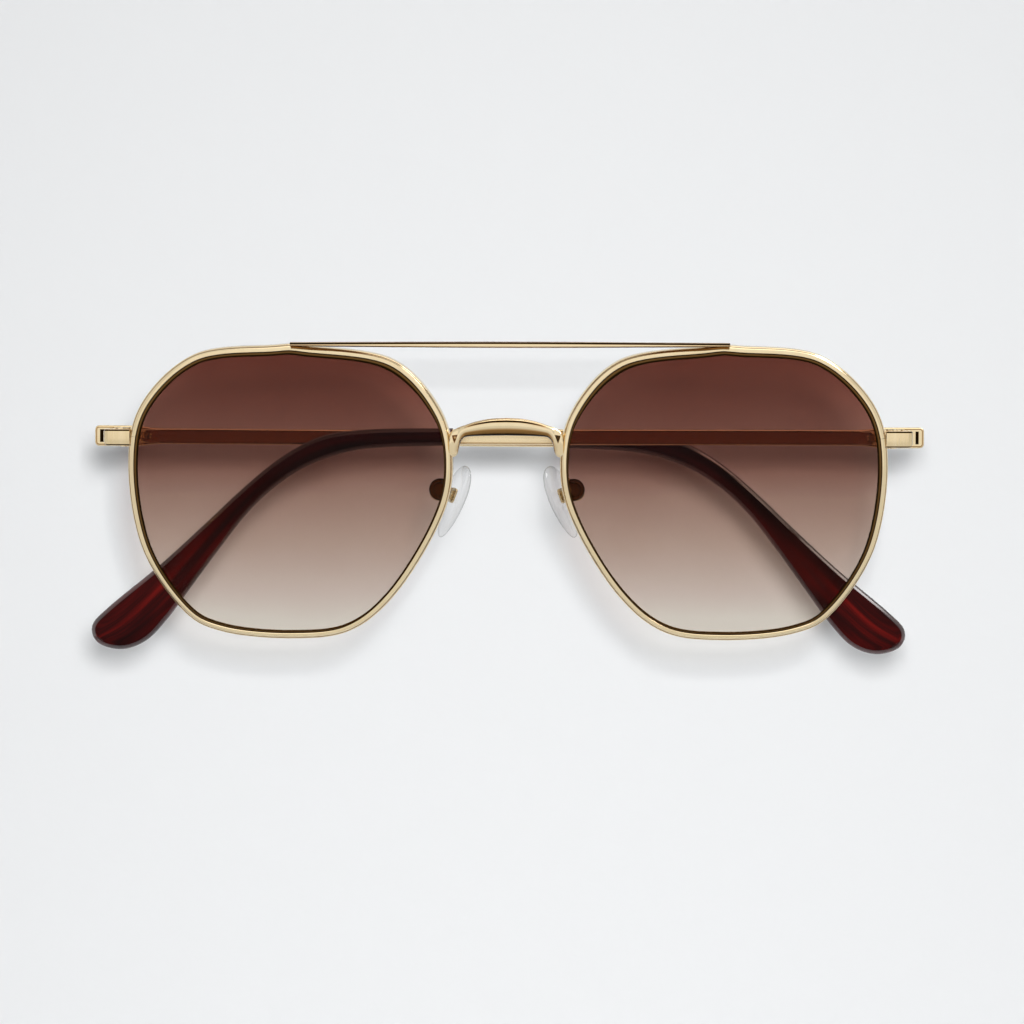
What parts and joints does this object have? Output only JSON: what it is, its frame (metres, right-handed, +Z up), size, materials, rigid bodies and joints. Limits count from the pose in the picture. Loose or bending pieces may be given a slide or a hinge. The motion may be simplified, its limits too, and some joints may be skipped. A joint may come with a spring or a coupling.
{
  "type": "aviator sunglasses",
  "caption": "Folding metal sunglasses with a double bridge, soft-cornered brown tinted lenses, rocking clear nose pads and flat temples with curved acetate tips.",
  "frame": {"origin": "midway between the two nose pads, where the front rests on the wearer's nose", "axes": "+X towards the wearer's left, +Y from the lenses back towards the head, +Z up; the temples are folded at rest"},
  "size_m": [0.1431, 0.0196, 0.0539],
  "materials": {
    "pale_gold": "polished pale gold plating",
    "screw_metal": "turned and plated",
    "brown_tint": "polished, graded from dark brown at the top to pale at the bottom",
    "maroon_acetate": "polished, streaked maroon",
    "clear_pad": "clear and polished"
  },
  "bodies": {
    "front": {"bridge": "pale_gold", "brow_bar": "pale_gold", "end_piece_left": "pale_gold", "end_piece_right": "pale_gold", "front_hinge_left": "pale_gold", "front_hinge_right": "pale_gold", "hinge_screw_left": "screw_metal", "hinge_screw_right": "screw_metal", "lens_left": "brown_tint", "lens_right": "brown_tint", "pad_arm_left": "pale_gold", "pad_arm_right": "pale_gold", "pad_box_left": "pale_gold", "pad_box_right": "pale_gold", "pad_screw_left": "screw_metal", "pad_screw_right": "screw_metal", "rim_left": "pale_gold", "rim_right": "pale_gold", "rim_lock_lower_left": "pale_gold", "rim_lock_lower_right": "pale_gold", "rim_lock_screw_left": "screw_metal", "rim_lock_screw_right": "screw_metal", "rim_lock_upper_left": "pale_gold", "rim_lock_upper_right": "pale_gold"},
    "left_temple": {"temple_bar_left": "pale_gold", "temple_hinge_left": "pale_gold", "temple_tip_left": "maroon_acetate"},
    "right_temple": {"temple_bar_right": "pale_gold", "temple_hinge_right": "pale_gold", "temple_tip_right": "maroon_acetate"},
    "left_pad": {"nose_pad_left": "clear_pad", "pad_lug_left": "screw_metal"},
    "right_pad": {"nose_pad_right": "clear_pad", "pad_lug_right": "screw_metal"}
  },
  "joints": [
    {"name": "left_temple_hinge", "type": "hinge", "parent": "front", "child": "left_temple", "pos_m": [0.067, 0.0033, 0.011], "axis": [0, 0, -1], "range_deg": [0, 91.5]},
    {"name": "right_temple_hinge", "type": "hinge", "parent": "front", "child": "right_temple", "pos_m": [-0.067, 0.0033, 0.011], "axis": [0, 0, 1], "range_deg": [0, 89]},
    {"name": "left_pad_pivot", "type": "hinge", "parent": "front", "child": "left_pad", "pos_m": [0.01065, -0.00104, 0.00158], "axis": [-0.4619, -0.8695, -0.1749], "range_deg": [-8, 8]},
    {"name": "right_pad_pivot", "type": "hinge", "parent": "front", "child": "right_pad", "pos_m": [-0.01065, -0.00104, 0.00158], "axis": [0.4619, -0.8695, -0.1749], "range_deg": [-8, 8]}
  ]
}
